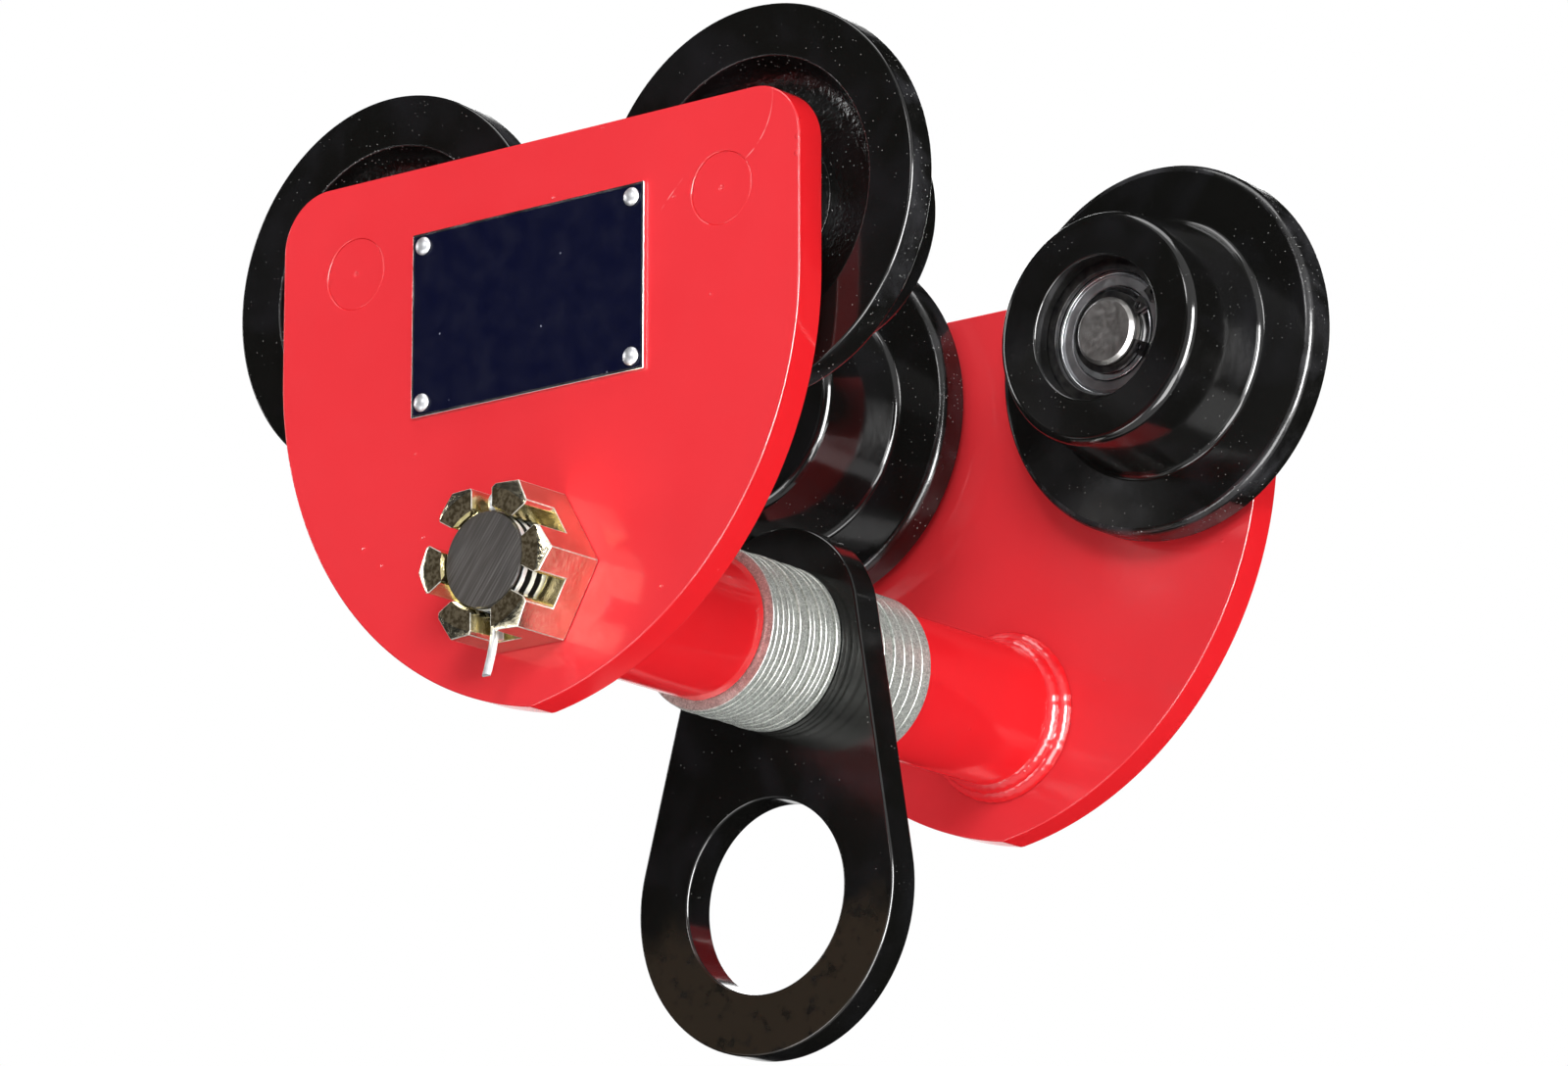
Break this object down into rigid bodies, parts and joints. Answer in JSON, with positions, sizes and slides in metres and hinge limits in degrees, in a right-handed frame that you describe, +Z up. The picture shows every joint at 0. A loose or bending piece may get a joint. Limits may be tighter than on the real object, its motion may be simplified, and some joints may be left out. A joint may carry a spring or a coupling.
{
  "type": "beam trolley",
  "caption": "Push beam trolley: side plates with flanged wheels run on a beam's lower flange and carry a load shaft with a swinging suspension plate.",
  "frame": {"origin": "on the plane where the wheel treads bear on the beam's lower flange, midway between the wheels and between the side plates", "axes": "+X along the beam, +Y across the beam away from the nameplate, +Z up"},
  "size_m": [0.2412, 0.266, 0.2686],
  "materials": {
    "red_enamel": "gloss",
    "black_enamel": "gloss",
    "dark_steel": "oiled, sawn ends",
    "bearing_steel": "ground",
    "bright_zinc": "zinc plated",
    "yellow_zinc": "yellow zinc plated",
    "nameplate_blue": "dark blue lacquer with a bare edge",
    "rivet_aluminium": "satin"
  },
  "bodies": {
    "frame": {"side_plate_near": "red_enamel", "side_plate_far": "red_enamel", "tube_near": "red_enamel", "tube_far": "red_enamel", "axle_near_left": "dark_steel", "axle_near_right": "dark_steel", "axle_far_left": "dark_steel", "axle_far_right": "dark_steel", "bearing_inner_near_left": "bearing_steel", "bearing_inner_near_right": "bearing_steel", "bearing_inner_far_left": "bearing_steel", "bearing_inner_far_right": "bearing_steel", "axle_ring_near_left": "dark_steel", "axle_ring_near_right": "dark_steel", "axle_ring_far_left": "dark_steel", "axle_ring_far_right": "dark_steel", "load_shaft": "dark_steel", "nut_near": "yellow_zinc", "nut_far": "yellow_zinc", "split_pin_near": "bright_zinc", "split_pin_far": "bright_zinc", "nameplate": "nameplate_blue", "rivet_1": "rivet_aluminium", "rivet_2": "rivet_aluminium", "rivet_3": "rivet_aluminium", "rivet_4": "rivet_aluminium", "washer_near_01": "bright_zinc", "washer_near_02": "bright_zinc", "washer_near_03": "bright_zinc", "washer_near_04": "bright_zinc", "washer_near_05": "bright_zinc", "washer_near_06": "bright_zinc", "washer_near_07": "bright_zinc", "washer_near_08": "bright_zinc", "washer_near_09": "bright_zinc", "washer_near_10": "bright_zinc", "washer_near_11": "bright_zinc", "washer_near_12": "bright_zinc", "washer_near_13": "bright_zinc", "washer_far_01": "bright_zinc", "washer_far_02": "bright_zinc", "washer_far_03": "bright_zinc", "washer_far_04": "bright_zinc", "washer_far_05": "bright_zinc", "washer_far_06": "bright_zinc", "washer_far_07": "bright_zinc"},
    "wheel_near_left": {"wheel_near_left": "black_enamel", "bearing_outer_near_left": "bearing_steel", "bore_ring_near_left": "dark_steel"},
    "wheel_near_right": {"wheel_near_right": "black_enamel", "bearing_outer_near_right": "bearing_steel", "bore_ring_near_right": "dark_steel"},
    "wheel_far_left": {"wheel_far_left": "black_enamel", "bearing_outer_far_left": "bearing_steel", "bore_ring_far_left": "dark_steel"},
    "wheel_far_right": {"wheel_far_right": "black_enamel", "bearing_outer_far_right": "bearing_steel", "bore_ring_far_right": "dark_steel"},
    "suspension_plate": {"suspension_plate": "black_enamel"}
  },
  "joints": [
    {"name": "wheel_near_left_spin", "type": "hinge", "parent": "frame", "child": "wheel_near_left", "pos_m": [-0.0656, -0.0735, 0.0375], "axis": [0, 1, 0], "continuous": true},
    {"name": "wheel_near_right_spin", "type": "hinge", "parent": "frame", "child": "wheel_near_right", "pos_m": [0.0656, -0.0735, 0.0375], "axis": [0, 1, 0], "continuous": true},
    {"name": "wheel_far_left_spin", "type": "hinge", "parent": "frame", "child": "wheel_far_left", "pos_m": [-0.0656, 0.0735, 0.0375], "axis": [0, 1, 0], "continuous": true},
    {"name": "wheel_far_right_spin", "type": "hinge", "parent": "frame", "child": "wheel_far_right", "pos_m": [0.0656, 0.0735, 0.0375], "axis": [0, 1, 0], "continuous": true},
    {"name": "suspension_swing", "type": "hinge", "parent": "frame", "child": "suspension_plate", "pos_m": [0, 0, -0.05985], "axis": [0, 1, 0], "range_deg": [-83, 77]}
  ]
}
